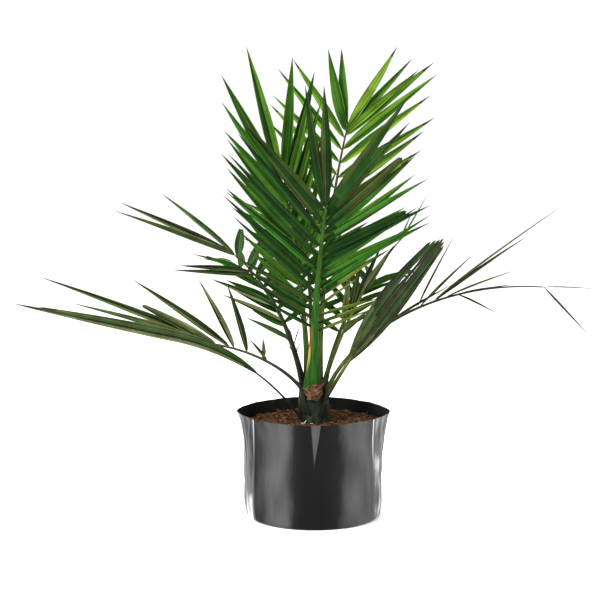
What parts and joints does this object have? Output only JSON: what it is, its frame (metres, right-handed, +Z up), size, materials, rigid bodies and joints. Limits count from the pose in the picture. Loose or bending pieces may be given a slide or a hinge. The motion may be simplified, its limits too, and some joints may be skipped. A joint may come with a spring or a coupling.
{
  "type": "young date palm in a nursery grow bag",
  "caption": "Young date palm: a short stem with a fibre mat, arching feathered fronds and undivided seedling leaves, in a soil-filled black film grow bag that stands on its flat underside.",
  "frame": {"origin": "middle of the grow bag's flat underside, on the surface it stands on", "axes": "+Z up along the stem, +X to the right and -Y towards someone who looks at the front of the plant"},
  "size_m": [0.8575, 0.5077, 0.7084],
  "materials": {
    "bag_film": "black polythene film, creased, glossy",
    "soil": "crumbly red-brown coir and soil",
    "stem": "dark grey-green leaf bases, dull",
    "fibre": "brown matted fibre",
    "leaf_deep": "deep green leaf, satin",
    "leaf_fresh": "fresh yellow-green leaf, satin",
    "leaf_olive": "grey olive leaf, satin"
  },
  "bodies": {
    "root": {"grow_bag": "bag_film", "soil": "soil", "stem_base": "stem", "leaf_base_fibre": "fibre", "frond_front": "leaf_deep", "frond_back_right": "leaf_fresh", "frond_back_left": "leaf_fresh", "frond_left": "leaf_olive", "frond_low_left": "leaf_olive", "frond_right": "leaf_olive", "frond_low_right": "leaf_olive", "frond_low_right_stalk": "leaf_olive", "frond_back": "leaf_fresh", "frond_back_stalk": "leaf_fresh", "frond_back_low_left": "leaf_fresh", "frond_back_low_left_stalk": "leaf_fresh", "frond_back_low_right": "leaf_fresh", "frond_back_low_right_stalk": "leaf_fresh", "strap_leaf": "leaf_olive", "strap_leaf_stalk": "leaf_olive", "broad_leaf": "leaf_deep"}
  },
  "joints": []
}
